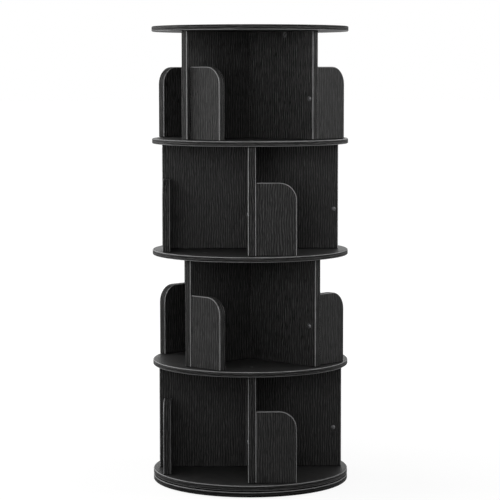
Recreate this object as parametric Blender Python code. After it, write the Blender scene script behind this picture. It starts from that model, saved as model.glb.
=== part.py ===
"""Revolving bookcase in black wood-grain board.

Four tiers of book compartments turn together on a ball-bearing turntable, which sits in shallow
pockets between a fixed round base and the lowest shelf. Each tier is a cross of one long upright and
two half uprights that butt against its faces. Each of the four arms carries a low baffle with a
rounded corner, and every tier is turned an eighth of a turn against the tier below it.
Metres, +Z up, origin on the floor under the turning axis.
"""

import math

import bmesh
import bpy
from mathutils import Matrix, Vector

# Round boards
SHELF_DIAMETER = 0.463
SHELF_THICKNESS = 0.012
SHELF_SEGMENTS = 64
ARRIS = 0.0015

# Uprights of one tier
TIER_COUNT = 4
TIER_CLEAR_HEIGHT = 0.250
TIER_TWIST = math.radians(-45)
FIRST_TIER_TURN = math.radians(90)
UPRIGHT_THICKNESS = 0.018
UPRIGHT_SETBACK = 0.0235
HALF_UPRIGHT_OVERHANG = 0.009

# Baffles at the ends of the arms
BAFFLE_THICKNESS = 0.018
BAFFLE_LENGTH = 0.093
BAFFLE_HEIGHT = 0.167
BAFFLE_CORNER_RADIUS = 0.040
BAFFLE_CORNER_SEGMENTS = 8
BAFFLE_INSET = 0.002

# Screws that hold the baffles
SCREW_HEIGHT = 0.0945
SCREW_LENGTH = 0.050
SCREW_HEAD_DIAMETER = 0.010
SCREW_HEAD_RIM = 0.0008
SCREW_HEAD_DEPTH = 0.003
SCREW_NECK_DIAMETER = 0.0066
SCREW_NECK_LENGTH = 0.024
SCREW_THREAD_DIAMETER = 0.005
SCREW_TIP_DIAMETER = 0.0025
SCREW_TIP_LENGTH = 0.004
SCREW_SOCKET_DIAMETER = 0.0046
SCREW_SOCKET_DEPTH = 0.0025
SCREW_SINK = 0.0002
SCREW_SEGMENTS = 8
BORE_RUN_OUT = 0.002

# Turntable between the base board and the bottom shelf
TURN_GAP = 0.003
BALL_DIAMETER = 0.006
BALL_COUNT = 12
RACE_RADIUS = 0.125
RACE_DEPTH = 0.0008
RACE_FLOOR_WIDTH = 0.0044
RACE_MOUTH_WIDTH = 0.0072
PLATE_THICKNESS = 0.002
PLATE_SEAT_WIDTH = 0.0164
LIP_OVERLAP = 0.003
RIM_LIFT = 0.0008
RIM_PLAY = 0.0012
CAGE_WIDTH = 0.012
CAGE_THICKNESS = 0.0016
CAGE_PLAY = 0.0096
POCKET_PLAY = 0.001
TURNTABLE_SEGMENTS = 36

# Foot pads
FOOT_COUNT = 6
FOOT_DIAMETER = 0.030
FOOT_HEIGHT = 0.003
FOOT_SETBACK = 0.035
FOOT_CHAMFER = 0.0006
FOOT_SEGMENTS = 20

# Clearances
SEAT_GAP = 0.0003
RUN_GAP = 0.0003
BORE_GAP = 0.0003

# Places that follow from the sizes
SHELF_RADIUS = SHELF_DIAMETER / 2
FOOT_CIRCLE_RADIUS = SHELF_RADIUS - FOOT_SETBACK
LONG_REACH = SHELF_RADIUS - UPRIGHT_SETBACK
HALF_REACH = LONG_REACH + HALF_UPRIGHT_OVERHANG
HALF_START = UPRIGHT_THICKNESS / 2 + SEAT_GAP
UPRIGHT_HEIGHT = TIER_CLEAR_HEIGHT - 2 * SEAT_GAP
BAFFLE_MIDDLE = LONG_REACH - BAFFLE_INSET - BAFFLE_THICKNESS / 2
BAFFLE_START = UPRIGHT_THICKNESS / 2 + SEAT_GAP
PLATE_SPACING = BALL_DIAMETER + 2 * RUN_GAP - 2 * RACE_DEPTH
TURNTABLE_HEIGHT = 2 * PLATE_THICKNESS + PLATE_SPACING
POCKET_DEPTH = (TURNTABLE_HEIGHT + 2 * SEAT_GAP - TURN_GAP) / 2
PLATE_INNER_RADIUS = RACE_RADIUS - RACE_MOUTH_WIDTH / 2 - PLATE_SEAT_WIDTH
WEB_INSIDE = RACE_RADIUS + CAGE_WIDTH / 2 + CAGE_PLAY
WEB_OUTSIDE = WEB_INSIDE + PLATE_THICKNESS
LIP_RADIUS = WEB_OUTSIDE + RIM_PLAY
RIM_RADIUS = LIP_RADIUS + LIP_OVERLAP
WALL_INSIDE = RIM_RADIUS + RIM_PLAY
PLATE_OUTER_RADIUS = WALL_INSIDE + PLATE_THICKNESS
RIM_TOP = RIM_LIFT + PLATE_THICKNESS
LIP_BOTTOM = RIM_TOP + RUN_GAP
POCKET_RADIUS = PLATE_OUTER_RADIUS + POCKET_PLAY
BASE_BOTTOM = FOOT_HEIGHT + SEAT_GAP
BASE_TOP = BASE_BOTTOM + SHELF_THICKNESS
RACE_LEVEL = BASE_TOP - POCKET_DEPTH + SEAT_GAP + PLATE_THICKNESS
BOTTOM_SHELF_BOTTOM = BASE_TOP + TURN_GAP
FIRST_FLOOR = BOTTOM_SHELF_BOTTOM + SHELF_THICKNESS
TIER_PITCH = TIER_CLEAR_HEIGHT + SHELF_THICKNESS
ARM_TURNS = [quarter * math.pi / 2 for quarter in range(4)]
ARM_LETTERS = "abcd"


def clear_scene():
    for obj in list(bpy.data.objects):
        bpy.data.objects.remove(obj, do_unlink=True)


def finish_material(name, colour, roughness, metallic=0.0):
    material = bpy.data.materials.new(name)
    material.use_nodes = True
    shader = material.node_tree.nodes["Principled BSDF"]
    shader.inputs["Base Color"].default_value = (*colour, 1.0)
    shader.inputs["Roughness"].default_value = roughness
    shader.inputs["Metallic"].default_value = metallic
    return material


def axis_empty(name, parent=None, height=0.0, turn=0.0):
    """An empty on the turning axis, which carries the pieces of one group."""
    empty = bpy.data.objects.new(name, None)
    bpy.context.scene.collection.objects.link(empty)
    empty.location = (0.0, 0.0, height)
    empty.rotation_euler = (0.0, 0.0, turn)
    empty.parent = parent
    return empty


def place(name, mesh, material, parent, location=(0.0, 0.0, 0.0), rotation=(0.0, 0.0, 0.0)):
    obj = bpy.data.objects.new(name, mesh)
    bpy.context.scene.collection.objects.link(obj)
    obj.location = location
    obj.rotation_euler = rotation
    obj.parent = parent
    if material and not mesh.materials:
        mesh.materials.append(material)
    return obj


def place_helper(name, mesh, parent, location=(0.0, 0.0, 0.0), rotation=(0.0, 0.0, 0.0)):
    """A shape that cuts or joins other pieces and isn't a piece itself."""
    obj = place(name, mesh, None, parent, location, rotation)
    obj.hide_render = True
    obj.display_type = "WIRE"
    return obj


def mesh_from(name, shape, smooth=False):
    bmesh.ops.recalc_face_normals(shape, faces=shape.faces)
    mesh = bpy.data.meshes.new(name)
    shape.to_mesh(mesh)
    shape.free()
    if smooth:
        mesh.shade_smooth()
        mesh.set_sharp_from_angle(angle=math.radians(35))
    return mesh


def turned_mesh(name, profile, segments, ring=False):
    """Turns (radius, height) points about Z. The two ends are capped, or joined to each other in a ring."""
    shape = bmesh.new()
    points = [shape.verts.new((radius, 0.0, height)) for radius, height in profile]
    pairs = list(zip(points, points[1:]))
    if ring:
        pairs.append((points[-1], points[0]))
    edges = [shape.edges.new(pair) for pair in pairs]
    bmesh.ops.spin(
        shape,
        geom=points + edges,
        axis=(0.0, 0.0, 1.0),
        cent=(0.0, 0.0, 0.0),
        angle=math.tau,
        steps=segments,
        use_merge=True,
    )
    rims = [edge for edge in shape.edges if edge.is_boundary]
    bmesh.ops.holes_fill(shape, edges=rims)
    return mesh_from(name, shape, smooth=True)


def board_mesh(name, length, thickness, height):
    """A rectangular board, its middle at the origin."""
    shape = bmesh.new()
    bmesh.ops.create_cube(shape, size=1.0)
    bmesh.ops.scale(shape, vec=(length, thickness, height), verts=shape.verts)
    return mesh_from(name, shape)


def baffle_mesh(name):
    """A board that stands in the YZ plane from y = 0, its free top corner rounded."""
    corner_y = BAFFLE_LENGTH - BAFFLE_CORNER_RADIUS
    corner_z = BAFFLE_HEIGHT - BAFFLE_CORNER_RADIUS
    outline = [(0.0, 0.0), (BAFFLE_LENGTH, 0.0)]
    for step in range(BAFFLE_CORNER_SEGMENTS + 1):
        angle = math.pi / 2 * step / BAFFLE_CORNER_SEGMENTS
        y = corner_y + BAFFLE_CORNER_RADIUS * math.cos(angle)
        z = corner_z + BAFFLE_CORNER_RADIUS * math.sin(angle)
        outline.append((y, z))
    outline.append((0.0, BAFFLE_HEIGHT))
    shape = bmesh.new()
    face = shape.faces.new([shape.verts.new((-BAFFLE_THICKNESS / 2, y, z)) for y, z in outline])
    grown = bmesh.ops.extrude_face_region(shape, geom=[face])
    moved = [item for item in grown["geom"] if isinstance(item, bmesh.types.BMVert)]
    bmesh.ops.translate(shape, vec=(BAFFLE_THICKNESS, 0.0, 0.0), verts=moved)
    return mesh_from(name, shape)


def ease_edges(obj):
    """Takes the sharp arris off every edge of a board."""
    bevel = obj.modifiers.new("arris", "BEVEL")
    bevel.width = ARRIS
    bevel.segments = 1
    bevel.limit_method = "ANGLE"
    bevel.angle_limit = math.radians(30)


def drill(obj, bore):
    cut = obj.modifiers.new("screw_bore", "BOOLEAN")
    cut.operation = "DIFFERENCE"
    cut.object = bore


def round_board_profile():
    """The edge of a round board from its underside to its top, with both arrises taken off."""
    return [
        (SHELF_RADIUS - ARRIS, 0.0),
        (SHELF_RADIUS, ARRIS),
        (SHELF_RADIUS, SHELF_THICKNESS - ARRIS),
        (SHELF_RADIUS - ARRIS, SHELF_THICKNESS),
    ]


def base_board_mesh():
    pocket = [
        (POCKET_RADIUS, SHELF_THICKNESS),
        (POCKET_RADIUS, SHELF_THICKNESS - POCKET_DEPTH),
    ]
    return turned_mesh("base_board", round_board_profile() + pocket, SHELF_SEGMENTS)


def bottom_shelf_mesh():
    pocket = [(POCKET_RADIUS, POCKET_DEPTH), (POCKET_RADIUS, 0.0)]
    return turned_mesh("bottom_shelf", pocket + round_board_profile(), SHELF_SEGMENTS)


def race_groove(level, depth):
    """The groove that the balls run in, from the outside inwards."""
    return [
        (RACE_RADIUS + RACE_MOUTH_WIDTH / 2, level),
        (RACE_RADIUS + RACE_FLOOR_WIDTH / 2, level + depth),
        (RACE_RADIUS - RACE_FLOOR_WIDTH / 2, level + depth),
        (RACE_RADIUS - RACE_MOUTH_WIDTH / 2, level),
    ]


def lower_plate_mesh():
    """The fixed plate. Heights are above its upper face, and its edge curls in over the upper plate's rim."""
    profile = [
        (PLATE_INNER_RADIUS, -PLATE_THICKNESS),
        (PLATE_OUTER_RADIUS, -PLATE_THICKNESS),
        (PLATE_OUTER_RADIUS, LIP_BOTTOM + PLATE_THICKNESS),
        (LIP_RADIUS, LIP_BOTTOM + PLATE_THICKNESS),
        (LIP_RADIUS, LIP_BOTTOM),
        (WALL_INSIDE, LIP_BOTTOM),
        (WALL_INSIDE, 0.0),
        *race_groove(0.0, -RACE_DEPTH),
        (PLATE_INNER_RADIUS, 0.0),
    ]
    return turned_mesh("turntable_lower_plate", profile, TURNTABLE_SEGMENTS, ring=True)


def upper_plate_mesh():
    """The turning plate, on the same heights. Its web steps down to a rim under the lower plate's lip."""
    profile = [
        (PLATE_INNER_RADIUS, PLATE_SPACING + PLATE_THICKNESS),
        (WEB_OUTSIDE, PLATE_SPACING + PLATE_THICKNESS),
        (WEB_OUTSIDE, RIM_TOP),
        (RIM_RADIUS, RIM_TOP),
        (RIM_RADIUS, RIM_LIFT),
        (WEB_INSIDE, RIM_LIFT),
        (WEB_INSIDE, PLATE_SPACING),
        *race_groove(PLATE_SPACING, RACE_DEPTH),
        (PLATE_INNER_RADIUS, PLATE_SPACING),
    ]
    return turned_mesh("turntable_upper_plate", profile, TURNTABLE_SEGMENTS, ring=True)


def cage_mesh():
    """The flat ring that spaces the balls, its middle at the height of their centres."""
    half_width = CAGE_WIDTH / 2
    half_height = CAGE_THICKNESS / 2
    profile = [
        (RACE_RADIUS - half_width, -half_height),
        (RACE_RADIUS + half_width, -half_height),
        (RACE_RADIUS + half_width, half_height),
        (RACE_RADIUS - half_width, half_height),
    ]
    return turned_mesh("turntable_ball_cage", profile, TURNTABLE_SEGMENTS, ring=True)


def balls_mesh():
    shape = bmesh.new()
    for number in range(BALL_COUNT):
        turn = Matrix.Rotation(math.tau * (number + 0.5) / BALL_COUNT, 4, "Z")
        centre = Matrix.Translation((RACE_RADIUS, 0.0, 0.0))
        bmesh.ops.create_uvsphere(
            shape, u_segments=8, v_segments=6, radius=BALL_DIAMETER / 2, matrix=turn @ centre
        )
    return mesh_from("turntable_balls", shape, smooth=True)


def foot_mesh():
    radius = FOOT_DIAMETER / 2
    profile = [
        (radius - FOOT_CHAMFER, 0.0),
        (radius, FOOT_CHAMFER),
        (radius, FOOT_HEIGHT),
    ]
    return turned_mesh("foot_pad", profile, FOOT_SEGMENTS)


def screw_mesh():
    """A countersunk screw pointing down, the top of its head at z = 0, with a drive socket."""
    socket = SCREW_SOCKET_DIAMETER / 2
    head = SCREW_HEAD_DIAMETER / 2
    neck = SCREW_NECK_DIAMETER / 2
    thread = SCREW_THREAD_DIAMETER / 2
    profile = [
        (socket, -SCREW_SOCKET_DEPTH),
        (socket, 0.0),
        (head, 0.0),
        (head, -SCREW_HEAD_RIM),
        (neck, -SCREW_HEAD_DEPTH),
        (neck, -SCREW_NECK_LENGTH),
        (thread, -SCREW_NECK_LENGTH),
        (thread, SCREW_TIP_LENGTH - SCREW_LENGTH),
        (SCREW_TIP_DIAMETER / 2, -SCREW_LENGTH),
    ]
    return turned_mesh("baffle_screw", profile, SCREW_SEGMENTS)


def screw_bore_mesh():
    """The hole for that screw, wider all round by the bore gap and open past the board's face."""
    head = SCREW_HEAD_DIAMETER / 2 + BORE_GAP
    neck = SCREW_NECK_DIAMETER / 2 + BORE_GAP
    thread = SCREW_THREAD_DIAMETER / 2 + BORE_GAP
    profile = [
        (head, BORE_RUN_OUT),
        (head, -SCREW_HEAD_RIM - BORE_GAP),
        (neck, -SCREW_HEAD_DEPTH - BORE_GAP),
        (neck, -SCREW_NECK_LENGTH - BORE_GAP),
        (thread, -SCREW_NECK_LENGTH - BORE_GAP),
        (thread, -SCREW_LENGTH - BORE_GAP),
    ]
    return turned_mesh("screw_bore", profile, SCREW_SEGMENTS)


def on_arm(turn, along, aside, height):
    """A point of a tier from its place on one arm: along it, to its left and above the floor."""
    return Matrix.Rotation(turn, 3, "Z") @ Vector((along, aside, height))


def build_base(parent, laminate, steel, felt):
    place("base_board", base_board_mesh(), laminate, parent, (0.0, 0.0, BASE_BOTTOM))
    place("turntable_lower_plate", lower_plate_mesh(), steel, parent, (0.0, 0.0, RACE_LEVEL))
    pad = foot_mesh()
    for number in range(FOOT_COUNT):
        angle = math.tau * number / FOOT_COUNT
        spot = (FOOT_CIRCLE_RADIUS * math.cos(angle), FOOT_CIRCLE_RADIUS * math.sin(angle), 0.0)
        place(f"foot_pad_{number + 1}", pad, felt, parent, spot)


def build_ball_cage(parent, steel):
    middle = (0.0, 0.0, RACE_LEVEL + PLATE_SPACING / 2)
    cage = place("turntable_ball_cage", cage_mesh(), steel, parent, middle)
    balls = place_helper("turntable_balls", balls_mesh(), parent, middle)
    joined = cage.modifiers.new("balls", "BOOLEAN")
    joined.operation = "UNION"
    joined.object = balls


def build_shelves(parent, laminate, steel):
    place("turntable_upper_plate", upper_plate_mesh(), steel, parent, (0.0, 0.0, RACE_LEVEL))
    place("bottom_shelf", bottom_shelf_mesh(), laminate, parent, (0.0, 0.0, BOTTOM_SHELF_BOTTOM))
    disc = turned_mesh("round_board", round_board_profile(), SHELF_SEGMENTS)
    for number in range(1, TIER_COUNT + 1):
        name = "top_panel" if number == TIER_COUNT else f"shelf_{number + 1}"
        underside = FIRST_FLOOR + number * TIER_PITCH - SHELF_THICKNESS
        place(name, disc, laminate, parent, (0.0, 0.0, underside))


def build_tier(number, parent, laminate, steel, meshes):
    """One cross of uprights with its baffles and their screws, on a floor at z = 0."""
    upright_middle = SEAT_GAP + UPRIGHT_HEIGHT / 2
    prefix = f"tier_{number}"
    long_upright = place(
        f"{prefix}_long_upright", meshes["long"], laminate, parent, (0.0, 0.0, upright_middle)
    )
    ease_edges(long_upright)
    for letter, turn in zip(ARM_LETTERS, ARM_TURNS):
        upright = long_upright
        if letter in "bd":
            spot = on_arm(turn, (HALF_START + HALF_REACH) / 2, 0.0, upright_middle)
            upright = place(
                f"{prefix}_half_upright_{letter}", meshes["half"], laminate, parent, spot, (0.0, 0.0, turn)
            )
            ease_edges(upright)
        spot = on_arm(turn, BAFFLE_MIDDLE, BAFFLE_START, SEAT_GAP)
        baffle = place(
            f"{prefix}_baffle_{letter}", meshes["baffle"], laminate, parent, spot, (0.0, 0.0, turn)
        )
        ease_edges(baffle)
        head = on_arm(turn, BAFFLE_MIDDLE, SCREW_SINK - UPRIGHT_THICKNESS / 2, SCREW_HEIGHT)
        inward = (math.pi / 2, 0.0, turn)
        place(f"{prefix}_baffle_screw_{letter}", meshes["screw"], steel, parent, head, inward)
        bore = place_helper(f"{prefix}_screw_bore_{letter}", meshes["bore"], parent, head, inward)
        drill(upright, bore)
        drill(baffle, bore)


def main():
    clear_scene()
    laminate = finish_material("black_wood_grain", (0.028, 0.027, 0.027), 0.45)
    zinc = finish_material("zinc_plated_steel", (0.42, 0.42, 0.43), 0.35, metallic=1.0)
    screw_steel = finish_material("dark_screw_steel", (0.20, 0.20, 0.21), 0.35, metallic=1.0)
    felt = finish_material("grey_felt", (0.10, 0.10, 0.10), 0.95)
    base = axis_empty("base_axis")
    cage = axis_empty("ball_cage_axis", base)
    carousel = axis_empty("carousel_axis", base)
    build_base(base, laminate, zinc, felt)
    build_ball_cage(cage, zinc)
    build_shelves(carousel, laminate, zinc)
    meshes = {
        "long": board_mesh("long_upright", 2 * LONG_REACH, UPRIGHT_THICKNESS, UPRIGHT_HEIGHT),
        "half": board_mesh("half_upright", HALF_REACH - HALF_START, UPRIGHT_THICKNESS, UPRIGHT_HEIGHT),
        "baffle": baffle_mesh("baffle"),
        "screw": screw_mesh(),
        "bore": screw_bore_mesh(),
    }
    for index in range(TIER_COUNT):
        turn = FIRST_TIER_TURN + index * TIER_TWIST
        tier = axis_empty(f"tier_{index + 1}_axis", carousel, FIRST_FLOOR + index * TIER_PITCH, turn)
        build_tier(index + 1, tier, laminate, screw_steel, meshes)


main()
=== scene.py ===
"""Looks of the revolving bookcase: black wood-grain boards, fasteners, a white studio and a camera."""

import math

import bmesh
import bpy
import numpy as np
from mathutils import Matrix, Vector


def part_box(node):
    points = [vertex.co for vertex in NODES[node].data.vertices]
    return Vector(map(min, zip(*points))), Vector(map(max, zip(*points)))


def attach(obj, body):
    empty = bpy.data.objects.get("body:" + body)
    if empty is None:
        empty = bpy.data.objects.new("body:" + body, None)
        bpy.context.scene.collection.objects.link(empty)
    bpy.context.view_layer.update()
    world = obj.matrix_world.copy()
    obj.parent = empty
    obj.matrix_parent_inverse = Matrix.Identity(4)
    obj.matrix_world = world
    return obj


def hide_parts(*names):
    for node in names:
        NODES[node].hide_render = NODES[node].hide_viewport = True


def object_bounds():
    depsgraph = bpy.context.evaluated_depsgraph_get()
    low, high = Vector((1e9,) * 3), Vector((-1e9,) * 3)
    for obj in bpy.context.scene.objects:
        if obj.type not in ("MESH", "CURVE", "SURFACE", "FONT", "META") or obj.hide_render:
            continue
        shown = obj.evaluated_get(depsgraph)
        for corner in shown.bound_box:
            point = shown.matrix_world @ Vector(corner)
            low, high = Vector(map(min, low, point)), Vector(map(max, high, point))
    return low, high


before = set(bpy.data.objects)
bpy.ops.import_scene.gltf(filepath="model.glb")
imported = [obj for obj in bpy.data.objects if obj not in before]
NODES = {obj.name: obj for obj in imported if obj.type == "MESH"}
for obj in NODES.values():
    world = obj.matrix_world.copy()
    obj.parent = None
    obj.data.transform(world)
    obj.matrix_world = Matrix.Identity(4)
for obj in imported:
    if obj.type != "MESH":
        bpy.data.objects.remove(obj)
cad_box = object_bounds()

UP = Vector((0.0, 0.0, 1.0))
UNIT_SPAN = (0.0, 1.0)
WHITE = (1.0, 1.0, 1.0, 1.0)

# Layout that the nodes' names follow: the first tier's arm a points along the first turn, each tier
# above is twisted against the one below, and arms b, c and d follow arm a a quarter turn apart
TIER_COUNT = 4
FIRST_TIER_TURN = math.radians(90)
TIER_TWIST = math.radians(-45)
ARM_LETTERS = "abcd"
BOARD_KINDS = ("board", "shelf", "panel", "upright", "baffle")

# Joining of a board's packed triangles and rounding of its arrises
WELD_DISTANCE = 0.00002
FLAT_ANGLE = math.radians(1)
ARRIS_ANGLE = math.radians(30)
ARRIS_ROUND = 0.0005
ARRIS_SEGMENTS = 2
ARRIS_PROFILE = 0.5

# Bend past which an edge of any piece looks sharp
SMOOTH_ANGLE = math.radians(35)

# Materials of a board, by how far a face's normal leans to the broad faces' direction: a broad face
# leans more than the first value, an edge less than the second, and an arris lies between them
FACE_SLOT, EDGE_SLOT, ARRIS_SLOT = range(3)
FACE_LEAN = 0.93
EDGE_LEAN = 0.37

# Arrises left in the plain edge material, without the painted highlight: on uprights those that rise
# less than a length, on baffles the foot's, and on two discs the one that faces up or down, which is
# left dark
FREE_ARRIS_LENGTH = 0.1
FOOT_LEAN = 0.3
UNHIGHLIGHTED_ARRIS = {"top_panel": 1.0, "base_board": -1.0}

# Place of the grain on a board, which moves on from board to board, and how far the normal of a
# board's upper or lower end leans to the vertical
GRAIN_MAP = "grain"
GRAIN_SHIFT = Vector((0.731, 1.177))
END_LEAN = 0.7

# Grain: waves to a metre across it and along it, and the part of a noise's range that is used
SWAY_WAVES = (16.0, 3.5, 1.0)
SWAY_NOISE = (0.2, 0.8)
SWAY_REACH = (-0.004, 0.004)
LINE_SPACING = 0.0056
LINE_WEIGHT = 0.85
LINE_DRIFT = 9.0
LINE_DRIFT_WAVES = (50.0, 24.0, 1.0)
LINE_STRENGTH_WAVES = (70.0, 48.0, 1.0)
LINE_STRENGTH_NOISE = (0.35, 0.65)
LINE_STRENGTH = (0.1, 1.2)
FIGURE_LEVEL = 0.13
FIGURE_LAYERS = {
    "fibres": {"waves": (330.0, 24.0, 1.0), "roughness": 0.5, "noise": (0.32, 0.68), "weight": 0.22},
    "threads": {"waves": (900.0, 36.0, 1.0), "roughness": 0.55, "noise": (0.35, 0.65), "weight": 0.30},
    "bands": {"waves": (26.0, 1.2, 1.0), "roughness": 0.55, "noise": (0.3, 0.7), "weight": 0.08},
}
HAIR_WAVES = (1000.0, 30.0, 1.0)
HAIR_NOISE = (0.35, 0.65)
HAIR_SHARE = (0.25, 1.0)
PORE_WAVES = (600.0, 45.0, 1.0)
PORE_NOISE = (0.60, 0.66)
PORE_SHARE = (1.0, 0.2)
GRAIN_DEPTH = 0.0003

# Looks of the boards: tones and roughness of the ground and of the lines, shine, and how strongly the
# grain is pressed
FACE_LOOK = {
    "dark": (0.003, 0.003, 0.003), "light": (0.078, 0.0772, 0.0764),
    "roughness": (0.54, 0.66), "specular": 0.12, "bump": 0.4,
}
SHELF_LOOK = {
    "dark": (0.003, 0.003, 0.003), "light": (0.062, 0.0613, 0.0606),
    "roughness": (0.54, 0.62), "specular": 0.20, "bump": 0.25,
}
EDGE_LOOK = {
    "dark": (0.006, 0.006, 0.006), "light": (0.073, 0.0723, 0.0715),
    "roughness": (0.62, 0.54), "specular": 0.07, "bump": 0.15,
}
# The base board's edge band is painted darker than the other edge bands: painted shade near the floor
BASE_EDGE_SHADED_LOOK = {
    "dark": (0.003, 0.003, 0.003), "light": (0.040, 0.0397, 0.0393),
    "roughness": (0.62, 0.54), "specular": 0.05, "bump": 0.15,
}

# Looks of the metals, whose bareness is the part that a black finish doesn't hide
SCREW_LOOK = {"colour": (0.085, 0.085, 0.088), "roughness": (0.34, 0.48), "bareness": 0.35}
CAM_LOOK = {"colour": (0.105, 0.105, 0.108), "roughness": (0.34, 0.48), "bareness": 0.5}
ZINC_LOOK = {"colour": (0.42, 0.42, 0.43), "roughness": (0.28, 0.45), "bareness": 1.0}

# Screws: radii of the head's rim, of the seat under it, of neck and thread and of the circle inside
# the socket, the dome's rise, and the length below the rim
BAFFLE_SCREW = {
    "head": 0.0058, "seat": 0.0046, "dome": 0.0026, "neck": 0.0033, "thread": 0.0025,
    "length": 0.050, "socket": 0.0018,
}
SHELF_SCREW = {
    "head": 0.0040, "seat": 0.0038, "dome": 0.0003, "neck": 0.0027, "thread": 0.0021,
    "length": 0.012, "socket": 0.0014,
}
HEAD_SIDES = 24
DOME_STEPS = (1.0, 0.92, 0.8, 0.65, 0.48)
BAFFLE_SCREW_PROUD = 0.0001
SHELF_SCREW_PROUD = 0.0003
SHELF_SCREW_FROM_AXIS = 0.150
FIRST_SCREWED_SHELF = 2

# Form of a screw as shares of the thread's radius, the length, the head's radius and the socket
TIP_RADIUS_SHARE = 0.5
TIP_LENGTH_SHARE = 1.6
THREAD_TOP_SHARE = 0.5
NECK_FOOT_SHARE = 0.48
NECK_TOP_SHARE = 0.6
SEAT_FOOT_SHARE = 0.18
SOCKET_MOUTH_SHARE = 1.1
SOCKET_CORNER_SHARE = 1.2
SOCKET_BEVEL_SHARE = 0.1
SOCKET_DEPTH_SHARE = 0.4
SOCKET_TIP_RADIUS_SHARE = 0.4
SOCKET_TIP_DEPTH_SHARE = 0.6

# Fittings of the top panel: a housing with a bevelled rim and a slotted cam, with heights from the
# upright's face
FITTING_FROM_AXIS = 0.1200
FITTING_DROP = 0.009
FITTING_SIDES = 32
HOUSING_RADIUS = 0.0078
HOUSING_FOOT = -0.0020
HOUSING_SIDE = 0.0004
HOUSING_PROUD = 0.0008
HOUSING_BEVEL = 0.0003
CAM_RADIUS = 0.0060
CAM_CLEARANCE = 0.0003
CAM_WELL = -0.0012
CAM_FOOT = -0.0010
CAM_PROUD = 0.0004
CAM_TURN = math.pi / 4
CAM_STEPS = 14
SLOT_WIDTH = 0.0016

# Floor: it glows for the camera and for reflections; near the object the glow is dimmer than white, a
# faint painted shade round the foot, so that the shadow shows, and further off it is white
SHADOW_REACH = 0.4
FLOOR_REACH = 1.5
NEAR_WHITE = 0.91
FLOOR_SIZE = 60.0
FLOOR_TONE = (0.14, 0.14, 0.14, 1.0)
FLOOR_ROUGHNESS = 0.9

# Strength of the world as light, and as the white that is seen
WORLD_STRENGTH = (0.20, 1.0)

# Lamps: open softboxes all round, and gridded ones, with beams in degrees, that leave the foot
# darker than the top
SOFTBOX_AIM = (0.0, 0.0, 0.8)
SOFTBOX_SIZE = 1.2
SOFTBOX_BEAM = 180
SOFTBOXES = {
    "front_softbox": {"place": (0.0, -3.2, 1.6), "power": 16.0},
    "front_left_softbox": {"place": (-1.9, -2.2, 1.5), "power": 10.0},
    "left_softbox": {"place": (-2.6, -0.3, 1.6), "power": 20.0},
    "left_back_softbox": {"place": (-2.4, 1.1, 1.3), "power": 30.0},
    "back_softbox": {"place": (0.0, 3.2, 1.4), "power": 12.0},
    "right_softbox": {"place": (2.6, -0.3, 1.6), "power": 10.0},
}
GRIDDED_AIM = (0.0, 0.0, 1.1)
GRIDDED_SIZE = 1.0
GRIDDED_SOFTBOXES = {
    "front_gridded_softbox": {"place": (-0.9, -3.0, 1.0), "power": 1.7, "beam": 40},
    "right_gridded_softbox": {"place": (2.6, -0.4, 1.7), "power": 3.0, "beam": 50},
}

# Camera, fitted to the discs' edges
CAMERA_DISTANCE = 4.6528
CAMERA_HEIGHT = 0.9725
CAMERA_AZIMUTH = math.radians(-1.05)
CAMERA_PITCH = math.radians(5.1834)
CAMERA_YAW = math.radians(0.0065)
CAMERA_ROLL = math.radians(-0.0599)
CAMERA_FOCAL_PIXELS = 1966.2
CAMERA_SENSOR = 36.0
CAMERA_CLIP_END = 200.0
PHOTO_WIDTH = 500.0


# Node helpers


def new_material(name):
    """A material, with its node tree and its shader."""
    material = bpy.data.materials.new(name)
    material.use_nodes = True
    return material, material.node_tree, material.node_tree.nodes["Principled BSDF"]


def new_node(tree, kind, **inputs):
    """A node with some inputs set, where an underscore stands for a space in an input's name."""
    node = tree.nodes.new(kind)
    for key, value in inputs.items():
        node.inputs[key.replace("_", " ")].default_value = value
    return node


def maths(tree, operation, first, second):
    """The result of a sum on two values, each a number or another node's output."""
    node = tree.nodes.new("ShaderNodeMath")
    node.operation = operation
    for socket, value in zip(node.inputs, (first, second)):
        if isinstance(value, (int, float)):
            socket.default_value = value
        else:
            tree.links.new(value, socket)
    return node.outputs["Value"]


def spread(tree, factor, span, values=UNIT_SPAN):
    """A span of the factor stretched over a range of values, and held at its ends."""
    node = new_node(
        tree, "ShaderNodeMapRange",
        From_Min=span[0], From_Max=span[1], To_Min=values[0], To_Max=values[1],
    )
    tree.links.new(factor, node.inputs["Value"])
    return node.outputs["Result"]


def noise(tree, place, waves, detail=2.0, roughness=0.55):
    """Noise with so many waves to a metre along each axis."""
    mapping = new_node(tree, "ShaderNodeMapping", Scale=waves)
    texture = new_node(tree, "ShaderNodeTexNoise", Scale=1.0, Detail=detail, Roughness=roughness)
    tree.links.new(place, mapping.inputs["Vector"])
    tree.links.new(mapping.outputs["Vector"], texture.inputs["Vector"])
    return texture.outputs["Fac"]


def even_noise(tree, waves, detail=2.0, roughness=0.55):
    """Noise in the piece's own space, with the same waves along every axis."""
    place = tree.nodes.new("ShaderNodeTexCoord").outputs["Object"]
    return noise(tree, place, (waves, waves, waves), detail, roughness)


def two_tone(tree, factor, dark, light):
    """Colour between a dark and a light tone."""
    ramp = tree.nodes.new("ShaderNodeValToRGB")
    ramp.color_ramp.elements[0].color = (*dark, 1.0)
    ramp.color_ramp.elements[1].color = (*light, 1.0)
    tree.links.new(factor, ramp.inputs["Fac"])
    return ramp.outputs["Color"]


def raise_bumps(tree, shader, height, strength, distance):
    """Bumps on a shader that follow a height between nought and one."""
    bump = new_node(tree, "ShaderNodeBump", Strength=strength, Distance=distance)
    tree.links.new(height, bump.inputs["Height"])
    tree.links.new(bump.outputs["Normal"], shader.inputs["Normal"])


# Materials


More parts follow.
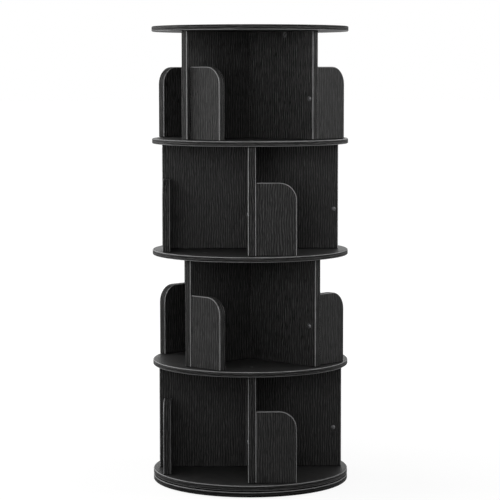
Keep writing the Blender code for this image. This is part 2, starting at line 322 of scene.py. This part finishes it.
def wavy_grain_place(tree):
    """Grain coordinates in metres, U across the grain and V along it, with the fibres bent a little."""
    uv_map = tree.nodes.new("ShaderNodeUVMap")
    uv_map.uv_map = GRAIN_MAP
    straight = uv_map.outputs["UV"]
    axes = tree.nodes.new("ShaderNodeSeparateXYZ")
    tree.links.new(straight, axes.inputs["Vector"])
    sway = spread(tree, noise(tree, straight, SWAY_WAVES), SWAY_NOISE, SWAY_REACH)
    bent = tree.nodes.new("ShaderNodeCombineXYZ")
    tree.links.new(maths(tree, "ADD", axes.outputs["X"], sway), bent.inputs["X"])
    tree.links.new(axes.outputs["Y"], bent.inputs["Y"])
    return bent.outputs["Vector"]


def grain_lines(tree, place):
    """Pressed lines along the grain, wavy, and stronger in some places than in others."""
    axes = tree.nodes.new("ShaderNodeSeparateXYZ")
    tree.links.new(place, axes.inputs["Vector"])
    drift = maths(tree, "MULTIPLY", noise(tree, place, LINE_DRIFT_WAVES), LINE_DRIFT)
    turn = maths(tree, "MULTIPLY", axes.outputs["X"], math.tau / LINE_SPACING)
    lines = maths(tree, "SINE", maths(tree, "ADD", turn, drift), 0.0)
    patches = noise(tree, place, LINE_STRENGTH_WAVES, detail=3.0)
    return maths(tree, "MULTIPLY", lines, spread(tree, patches, LINE_STRENGTH_NOISE, LINE_STRENGTH))


def grain_figure(tree, place):
    """The grain's lines with layers of softer streaks."""
    lines = maths(tree, "MULTIPLY", grain_lines(tree, place), LINE_WEIGHT)
    figure = maths(tree, "ADD", lines, FIGURE_LEVEL)
    for layer in FIGURE_LAYERS.values():
        streaks = noise(tree, place, layer["waves"], roughness=layer["roughness"])
        share = maths(tree, "MULTIPLY", spread(tree, streaks, layer["noise"]), layer["weight"])
        figure = maths(tree, "ADD", figure, share)
    return figure


def fine_fibres(tree, place):
    """Hair-fine streaks with dark pores, as a share of the light tone."""
    hairs = spread(tree, noise(tree, place, HAIR_WAVES, detail=3.0), HAIR_NOISE, HAIR_SHARE)
    pores = spread(tree, noise(tree, place, PORE_WAVES, detail=1.0), PORE_NOISE, PORE_SHARE)
    return maths(tree, "MULTIPLY", hairs, pores)


def wood_grain(name, dark, light, roughness, specular, bump):
    """Black laminate, printed and pressed with a grain that shines otherwise than its ground."""
    material, tree, shader = new_material(name)
    place = wavy_grain_place(tree)
    figure = grain_figure(tree, place)
    tone = maths(tree, "MULTIPLY", spread(tree, figure, UNIT_SPAN), fine_fibres(tree, place))
    tree.links.new(two_tone(tree, tone, dark, light), shader.inputs["Base Color"])
    tree.links.new(spread(tree, figure, UNIT_SPAN, roughness), shader.inputs["Roughness"])
    raise_bumps(tree, shader, tone, bump, GRAIN_DEPTH)
    shader.inputs["Specular IOR Level"].default_value = specular
    return material


def painted_highlight_arris(name):
    """Rounded arris of the edge band, painted a lighter grey as a highlight where light catches it, in
    patches along its length.
    """
    long_waves, long_weight = (40.0, 22.0, 1.0), 0.7
    short_waves, short_weight = (900.0, 260.0, 1.0), 0.3
    used_noise = (0.35, 0.65)
    dim_highlight, bright_highlight = (0.19, 0.19, 0.192), (0.34, 0.34, 0.343)
    roughness = (0.42, 0.55)
    specular = 0.12
    bump, depth = 0.2, 0.0002
    material, tree, shader = new_material(name)
    place = wavy_grain_place(tree)
    long_highlight_patches = maths(tree, "MULTIPLY", noise(tree, place, long_waves, detail=4.0), long_weight)
    scratches = noise(tree, place, short_waves)
    short_highlight_patches = maths(tree, "MULTIPLY", scratches, short_weight)
    highlight_patches = spread(tree, maths(tree, "ADD", long_highlight_patches, short_highlight_patches), used_noise)
    tree.links.new(two_tone(tree, highlight_patches, dim_highlight, bright_highlight), shader.inputs["Base Color"])
    tree.links.new(spread(tree, highlight_patches, UNIT_SPAN, roughness), shader.inputs["Roughness"])
    raise_bumps(tree, shader, scratches, bump, depth)
    shader.inputs["Specular IOR Level"].default_value = specular
    return material


def metal(name, colour, roughness, bareness):
    """Steel, bare or with a black finish that hides part of its metal."""
    fine_waves, broad_waves = 1400.0, 160.0
    used_noise = (0.7, 1.3)
    darker, lighter = 0.75, 1.2
    bump, depth = 0.15, 0.0001
    material, tree, shader = new_material(name)
    fine = even_noise(tree, fine_waves)
    broad = even_noise(tree, broad_waves, detail=3.0)
    stain = spread(tree, maths(tree, "ADD", fine, broad), used_noise)
    dark = [channel * darker for channel in colour]
    light = [channel * lighter for channel in colour]
    tree.links.new(two_tone(tree, stain, dark, light), shader.inputs["Base Color"])
    tree.links.new(spread(tree, stain, UNIT_SPAN, roughness), shader.inputs["Roughness"])
    raise_bumps(tree, shader, fine, bump, depth)
    shader.inputs["Metallic"].default_value = bareness
    return material


def moulded_plastic(name):
    """Black plastic with the fine grit of its mould."""
    waves = 2200.0
    dark, light = (0.014, 0.014, 0.014), (0.030, 0.030, 0.030)
    used_noise, roughness = (0.3, 0.7), (0.35, 0.5)
    specular = 0.4
    bump, depth = 0.25, 0.0001
    material, tree, shader = new_material(name)
    grit = even_noise(tree, waves)
    tree.links.new(two_tone(tree, grit, dark, light), shader.inputs["Base Color"])
    tree.links.new(spread(tree, grit, used_noise, roughness), shader.inputs["Roughness"])
    raise_bumps(tree, shader, grit, bump, depth)
    shader.inputs["Specular IOR Level"].default_value = specular
    return material


def felt(name):
    """Grey felt with a matted pile."""
    waves, detail, pile_roughness = 1500.0, 4.0, 0.7
    dark, light = (0.03, 0.03, 0.03), (0.14, 0.14, 0.14)
    roughness, sheen = 0.95, 0.3
    bump, depth = 0.8, 0.0005
    material, tree, shader = new_material(name)
    fibres = even_noise(tree, waves, detail, pile_roughness)
    tree.links.new(two_tone(tree, fibres, dark, light), shader.inputs["Base Color"])
    raise_bumps(tree, shader, fibres, bump, depth)
    shader.inputs["Roughness"].default_value = roughness
    shader.inputs["Sheen Weight"].default_value = sheen
    return material


# Mesh helpers


def place_piece(name, shape, materials, body):
    """Turns a bmesh in the frame's coordinates into a piece that rides on a body."""
    mesh = bpy.data.meshes.new(name)
    shape.to_mesh(mesh)
    shape.free()
    mesh.shade_smooth()
    mesh.set_sharp_from_angle(angle=SMOOTH_ANGLE)
    for material in materials:
        mesh.materials.append(material)
    piece = bpy.data.objects.new(name, mesh)
    bpy.context.scene.collection.objects.link(piece)
    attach(piece, body)
    return piece


def add_rings(shape, rings, matrix):
    """Adds a closed skin through rings of equal count, capped at both ends."""
    loops = [[shape.verts.new(matrix @ point) for point in ring] for ring in rings]
    for lower, upper in zip(loops, loops[1:]):
        for index in range(len(lower)):
            following = (index + 1) % len(lower)
            shape.faces.new((lower[index], lower[following], upper[following], upper[index]))
    shape.faces.new(reversed(loops[0]))
    shape.faces.new(loops[-1])


def round_ring(radius, height, sides=HEAD_SIDES):
    """A circle's outline about the Z axis."""
    turns = [math.tau * index / sides for index in range(sides)]
    return [Vector((radius * math.cos(turn), radius * math.sin(turn), height)) for turn in turns]


def hexagon_ring(apothem, height, sides=HEAD_SIDES):
    """A hexagon's outline with as many points as the round rings."""
    sixth = math.pi / 3
    ring = []
    for index in range(sides):
        turn = math.tau * index / sides
        reach = apothem / math.cos((turn + sixth / 2) % sixth - sixth / 2)
        ring.append(Vector((reach * math.cos(turn), reach * math.sin(turn), height)))
    return ring


def looking(point, outward):
    """The frame of a fastener whose head is at point and faces outward."""
    return Matrix.Translation(point) @ outward.to_track_quat("Z", "Y").to_matrix().to_4x4()


def add_screw(shape, size, matrix):
    """Adds a round-headed screw with a hexagon socket, its head's rim at z = 0 and its tip below."""
    head, seat, dome = size["head"], size["seat"], size["dome"]
    neck, thread = size["neck"], size["thread"]
    socket, length = size["socket"], size["length"]
    bend = (head ** 2 + dome ** 2) / (2 * dome)

    def dome_height(radius):
        return math.sqrt(bend ** 2 - radius ** 2) - bend + dome

    mouth_height = dome_height(socket * SOCKET_CORNER_SHARE)
    rings = [
        round_ring(thread * TIP_RADIUS_SHARE, -length),
        round_ring(thread, -length + thread * TIP_LENGTH_SHARE),
        round_ring(thread, -length * THREAD_TOP_SHARE),
        round_ring(neck, -length * NECK_FOOT_SHARE),
        round_ring(neck, -head * NECK_TOP_SHARE),
        round_ring(seat, -head * SEAT_FOOT_SHARE),
        round_ring(seat, 0.0),
    ]
    rings += [round_ring(head * step, dome_height(head * step)) for step in DOME_STEPS]
    rings += [
        hexagon_ring(socket * SOCKET_MOUTH_SHARE, mouth_height),
        hexagon_ring(socket, mouth_height - socket * SOCKET_BEVEL_SHARE),
        hexagon_ring(socket, -socket * SOCKET_DEPTH_SHARE),
        round_ring(socket * SOCKET_TIP_RADIUS_SHARE, -socket * SOCKET_TIP_DEPTH_SHARE),
    ]
    add_rings(shape, rings, matrix)


# Boards


def is_board(name):
    """Whether a node is a board, by its name."""
    return any(kind in name for kind in BOARD_KINDS) and "screw" not in name


def broad_direction(mesh):
    """The direction that a board's broad faces look along: the one that most of its area faces."""
    normals = np.array([face.normal for face in mesh.polygons])
    areas = np.array([face.area for face in mesh.polygons])
    directions = np.linalg.eigh((normals * areas[:, None]).T @ normals)[1]
    return Vector(directions[:, -1])


def rounded_board(mesh):
    """A board's shape with its packed triangles joined and its arrises rounded."""
    shape = bmesh.new()
    shape.from_mesh(mesh)
    bmesh.ops.remove_doubles(shape, verts=shape.verts, dist=WELD_DISTANCE)
    bmesh.ops.dissolve_limit(shape, angle_limit=FLAT_ANGLE, verts=shape.verts, edges=shape.edges)
    manifold = [edge for edge in shape.edges if edge.is_manifold]
    arrises = [edge for edge in manifold if edge.calc_face_angle() > ARRIS_ANGLE]
    bmesh.ops.bevel(
        shape, geom=arrises, offset=ARRIS_ROUND, segments=ARRIS_SEGMENTS, profile=ARRIS_PROFILE,
        affect="EDGES", clamp_overlap=True,
    )
    bmesh.ops.remove_doubles(shape, verts=shape.verts, dist=WELD_DISTANCE)
    shape.normal_update()
    return shape


def rim_turn(point):
    """Angle round the axis, with its break at the back."""
    return math.atan2(point.x, -point.y)


def grain_place(point, face, broad, radius):
    """Where a point lies in the grain, across it and along it, in metres. Only discs have a radius."""
    is_face = abs(face.normal.dot(broad)) > FACE_LEAN
    if radius and is_face:
        return Vector((point.y, point.x))
    if radius:
        middle = rim_turn(face.calc_center_median())
        turn = (rim_turn(point) - middle + math.pi) % math.tau - math.pi + middle
        return Vector((point.z, radius * turn))
    side = UP.cross(broad)
    if is_face:
        return Vector((point.dot(side), point.z))
    along = point.dot(side) if abs(face.normal.z) > END_LEAN else point.z
    return Vector((point.dot(broad), along))


def lacks_painted_highlight(node_name, face):
    """Whether an arris is left without the painted highlight, as where it meets another board or rims a
    screw's hole.
    """
    if "upright" in node_name:
        heights = [corner.co.z for corner in face.verts]
        return max(heights) - min(heights) < FREE_ARRIS_LENGTH
    if "baffle" in node_name:
        return face.normal.z < -FOOT_LEAN
    return face.normal.z * UNHIGHLIGHTED_ARRIS.get(node_name, 0.0) > 0.0


def material_slot(node_name, face, broad):
    """Which of a board's materials a face has."""
    lean = abs(face.normal.dot(broad))
    if lean > FACE_LEAN:
        return FACE_SLOT
    if lean < EDGE_LEAN or lacks_painted_highlight(node_name, face):
        return EDGE_SLOT
    return ARRIS_SLOT


def dress_board(number, node_name, body, materials):
    """Puts a board with rounded arrises and a laid-out grain in the place of its node."""
    source = NODES[node_name].data
    broad = broad_direction(source)
    radius = cad_box[1].x if abs(broad.z) > FACE_LEAN else 0.0
    shape = rounded_board(source)
    grain = shape.loops.layers.uv.new(GRAIN_MAP)
    for face in shape.faces:
        face.material_index = material_slot(node_name, face, broad)
        for loop in face.loops:
            place = grain_place(loop.vert.co, face, broad, radius)
            loop[grain].uv = place + number * GRAIN_SHIFT
    board = place_piece(f"{node_name}_dressed", shape, materials, body)
    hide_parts(node_name)
    board.modifiers.new("normals", "WEIGHTED_NORMAL")


def dress_boards():
    """Dresses every board: uprights and baffles in one grain, discs in another."""
    face_grain = wood_grain("black_wood_grain", **FACE_LOOK)
    shelf_grain = wood_grain("black_shelf_grain", **SHELF_LOOK)
    edge_grain = wood_grain("black_edge_band", **EDGE_LOOK)
    # The base board's edge band is darker: painted shade near the floor
    shaded_base_edge_grain = wood_grain("black_base_band_painted_shade", **BASE_EDGE_SHADED_LOOK)
    # The arris material is a lighter grey: a painted highlight along the rounded arrises
    arris = painted_highlight_arris("painted_highlight_arris")
    for number, name in enumerate(name for name in sorted(NODES) if is_board(name)):
        body = "base" if name == "base_board" else "carousel"
        face = face_grain if name.startswith("tier") else shelf_grain
        edge = shaded_base_edge_grain if name == "base_board" else edge_grain
        dress_board(number, name, body, [face, edge, arris])


# Turntable and feet


def dress_turntable_and_feet():
    """Gives the turntable's pieces and the foot pads their materials."""
    zinc = metal("zinc_plated_steel", **ZINC_LOOK)
    grey_felt = felt("grey_felt")
    for name, node in NODES.items():
        if name.startswith("turntable"):
            node.data.materials[0] = zinc
        if name.startswith("foot"):
            node.data.materials[0] = grey_felt


# Fasteners


def arm_direction(tier, arm):
    """The way that an arm of a tier points."""
    turn = FIRST_TIER_TURN + (tier - 1) * TIER_TWIST + arm * math.pi / 2
    return Vector((math.cos(turn), math.sin(turn), 0.0))


def head_face(node_name, outward):
    """How far along outward a screw's node reaches: the face that its head sits in."""
    return max(vertex.co.dot(outward) for vertex in NODES[node_name].data.vertices)


def build_baffle_screws(material):
    """Screws through the arms into the baffles, in the place of their nodes."""
    for tier in range(1, TIER_COUNT + 1):
        for arm, letter in enumerate(ARM_LETTERS):
            node_name = f"tier_{tier}_baffle_screw_{letter}"
            outward = arm_direction(tier, arm - 1)
            low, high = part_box(node_name)
            middle = (low + high) / 2
            reach = head_face(node_name, outward) + BAFFLE_SCREW_PROUD - middle.dot(outward)
            shape = bmesh.new()
            add_screw(shape, BAFFLE_SCREW, looking(middle + outward * reach, outward))
            bmesh.ops.recalc_face_normals(shape, faces=shape.faces)
            piece = place_piece(f"{node_name}_dressed", shape, [material], "carousel")
            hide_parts(node_name)


def build_shelf_screws(material):
    """Screws down into the tier below each middle shelf and up into the tier above it."""
    for number in range(FIRST_SCREWED_SHELF, TIER_COUNT + 1):
        low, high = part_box(f"shelf_{number}")
        shape = bmesh.new()
        for arm in range(len(ARM_LETTERS)):
            for tier, height, outward in ((number - 1, high.z, UP), (number, low.z, -UP)):
                head = arm_direction(tier, arm) * SHELF_SCREW_FROM_AXIS
                head.z = height
                add_screw(shape, SHELF_SCREW, looking(head + outward * SHELF_SCREW_PROUD, outward))
        bmesh.ops.recalc_face_normals(shape, faces=shape.faces)
        place_piece(f"shelf_{number}_screws", shape, [material], "carousel")


def half_moon(height):
    """Outline of the part of a cam that lies above the slot across its middle."""
    start = math.asin(SLOT_WIDTH / 2 / CAM_RADIUS)
    sweep = math.pi - 2 * start
    turns = [start + sweep * step / CAM_STEPS for step in range(CAM_STEPS + 1)]
    corners = [(CAM_RADIUS * math.cos(turn), CAM_RADIUS * math.sin(turn)) for turn in turns]
    return [Vector((across, up, height)) for across, up in corners]


def fitting_housing(matrix):
    """A cup with a bevelled rim."""
    profile = (
        (HOUSING_RADIUS, HOUSING_FOOT),
        (HOUSING_RADIUS, HOUSING_SIDE),
        (HOUSING_RADIUS - HOUSING_BEVEL, HOUSING_PROUD),
        (CAM_RADIUS + 2 * CAM_CLEARANCE, HOUSING_PROUD),
        (CAM_RADIUS + CAM_CLEARANCE, HOUSING_PROUD - HOUSING_BEVEL),
        (CAM_RADIUS + CAM_CLEARANCE, CAM_WELL),
    )
    housing = bmesh.new()
    rings = [round_ring(radius, height, FITTING_SIDES) for radius, height in profile]
    add_rings(housing, rings, matrix)
    bmesh.ops.recalc_face_normals(housing, faces=housing.faces)
    return housing


def fitting_cam(matrix):
    """A round cam in two halves, with a screwdriver's slot between them."""
    cam = bmesh.new()
    for turn in (CAM_TURN, CAM_TURN + math.pi):
        outlines = [half_moon(CAM_FOOT), half_moon(CAM_PROUD)]
        add_rings(cam, outlines, matrix @ Matrix.Rotation(turn, 4, "Z"))
    bmesh.ops.recalc_face_normals(cam, faces=cam.faces)
    return cam


def build_top_fittings(plastic, steel):
    """Round fittings at the top of the top tier's arms, which draw the top panel down."""
    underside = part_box("top_panel")[0].z
    for arm, letter in enumerate(ARM_LETTERS):
        outward = arm_direction(TIER_COUNT, arm - 1)
        face = head_face(f"tier_{TIER_COUNT}_baffle_screw_{letter}", outward)
        centre = arm_direction(TIER_COUNT, arm) * FITTING_FROM_AXIS + outward * face
        centre.z = underside - FITTING_DROP
        matrix = looking(centre, outward)
        housing = fitting_housing(matrix)
        place_piece(f"top_fitting_{letter}_housing", housing, [plastic], "carousel")
        cam = fitting_cam(matrix)
        place_piece(f"top_fitting_{letter}_cam", cam, [steel], "carousel")


def build_fasteners():
    """Every fastener that shows."""
    screw_steel = metal("dark_screw_steel", **SCREW_LOOK)
    cam_steel = metal("grey_cam_steel", **CAM_LOOK)
    plastic = moulded_plastic("black_moulded_plastic")
    build_baffle_screws(screw_steel)
    build_shelf_screws(screw_steel)
    build_top_fittings(plastic, cam_steel)


# Studio


def seen_directly(tree):
    """One where the camera, a reflection or a refraction sees the studio, and nought for its light."""
    path = tree.nodes.new("ShaderNodeLightPath")
    seen = maths(tree, "MAXIMUM", path.outputs["Is Camera Ray"], path.outputs["Is Glossy Ray"])
    return maths(tree, "MAXIMUM", seen, path.outputs["Is Transmission Ray"])


def floor_material():
    """A floor that is seen as nearly white and throws back little light."""
    material, tree, shader = new_material("pale_floor")
    shader.inputs["Base Color"].default_value = FLOOR_TONE
    shader.inputs["Roughness"].default_value = FLOOR_ROUGHNESS
    shader.inputs["Specular IOR Level"].default_value = 0.0
    shader.inputs["Emission Color"].default_value = WHITE
    distance = tree.nodes.new("ShaderNodeVectorMath")
    distance.operation = "LENGTH"
    place = tree.nodes.new("ShaderNodeTexCoord").outputs["Object"]
    tree.links.new(place, distance.inputs[0])
    reach = (SHADOW_REACH, FLOOR_REACH)
    # The floor's glow is weaker near the object: a faint painted shade round its foot
    whiteness = spread(tree, distance.outputs["Value"], reach, (NEAR_WHITE, 1.0))
    glow = maths(tree, "MULTIPLY", seen_directly(tree), whiteness)
    tree.links.new(glow, shader.inputs["Emission Strength"])
    return material


def build_floor():
    """The floor that the bookcase stands on."""
    mesh = bpy.data.meshes.new("floor")
    shape = bmesh.new()
    bmesh.ops.create_grid(shape, x_segments=1, y_segments=1, size=FLOOR_SIZE)
    shape.to_mesh(mesh)
    shape.free()
    mesh.materials.append(floor_material())
    floor = bpy.data.objects.new("floor", mesh)
    bpy.context.scene.collection.objects.link(floor)


def build_world():
    """White all round, which lights the object less than it shows."""
    world = bpy.data.worlds.new("studio")
    bpy.context.scene.world = world
    world.use_nodes = True
    tree = world.node_tree
    background = tree.nodes["Background"]
    background.inputs["Color"].default_value = WHITE
    strength = spread(tree, seen_directly(tree), UNIT_SPAN, WORLD_STRENGTH)
    tree.links.new(strength, background.inputs["Strength"])


def build_camera():
    """The camera, placed as the photo's was."""
    data = bpy.data.cameras.new("camera")
    data.sensor_width = CAMERA_SENSOR
    data.lens = CAMERA_FOCAL_PIXELS * CAMERA_SENSOR / PHOTO_WIDTH
    data.clip_end = CAMERA_CLIP_END
    camera = bpy.data.objects.new("camera", data)
    bpy.context.scene.collection.objects.link(camera)
    across = CAMERA_DISTANCE * math.sin(CAMERA_AZIMUTH)
    back = -CAMERA_DISTANCE * math.cos(CAMERA_AZIMUTH)
    turn = Matrix.Rotation(CAMERA_AZIMUTH + CAMERA_YAW, 4, "Z")
    tilt = Matrix.Rotation(math.pi / 2 - CAMERA_PITCH, 4, "X")
    roll = Matrix.Rotation(CAMERA_ROLL, 4, "Z")
    camera.matrix_world = Matrix.Translation((across, back, CAMERA_HEIGHT)) @ turn @ tilt @ roll
    bpy.context.scene.camera = camera


def area_light(name, place, aim, size, power, beam):
    """A square lamp that looks from its place at its aim."""
    light = bpy.data.lights.new(name, "AREA")
    light.size = size
    light.energy = power
    light.spread = math.radians(beam)
    lamp = bpy.data.objects.new(name, light)
    bpy.context.scene.collection.objects.link(lamp)
    lamp.location = place
    lamp.rotation_euler = (Vector(aim) - Vector(place)).to_track_quat("-Z", "Y").to_euler()


def build_lights():
    """The lamps round the object."""
    for name, lamp in SOFTBOXES.items():
        area_light(name, lamp["place"], SOFTBOX_AIM, SOFTBOX_SIZE, lamp["power"], SOFTBOX_BEAM)
    for name, lamp in GRIDDED_SOFTBOXES.items():
        area_light(name, lamp["place"], GRIDDED_AIM, GRIDDED_SIZE, lamp["power"], lamp["beam"])


def main():
    """Dresses the object and builds the studio round it."""
    dress_boards()
    dress_turntable_and_feet()
    build_fasteners()
    build_floor()
    build_world()
    build_camera()
    build_lights()
    bpy.context.scene.view_settings.view_transform = "Standard"


main()
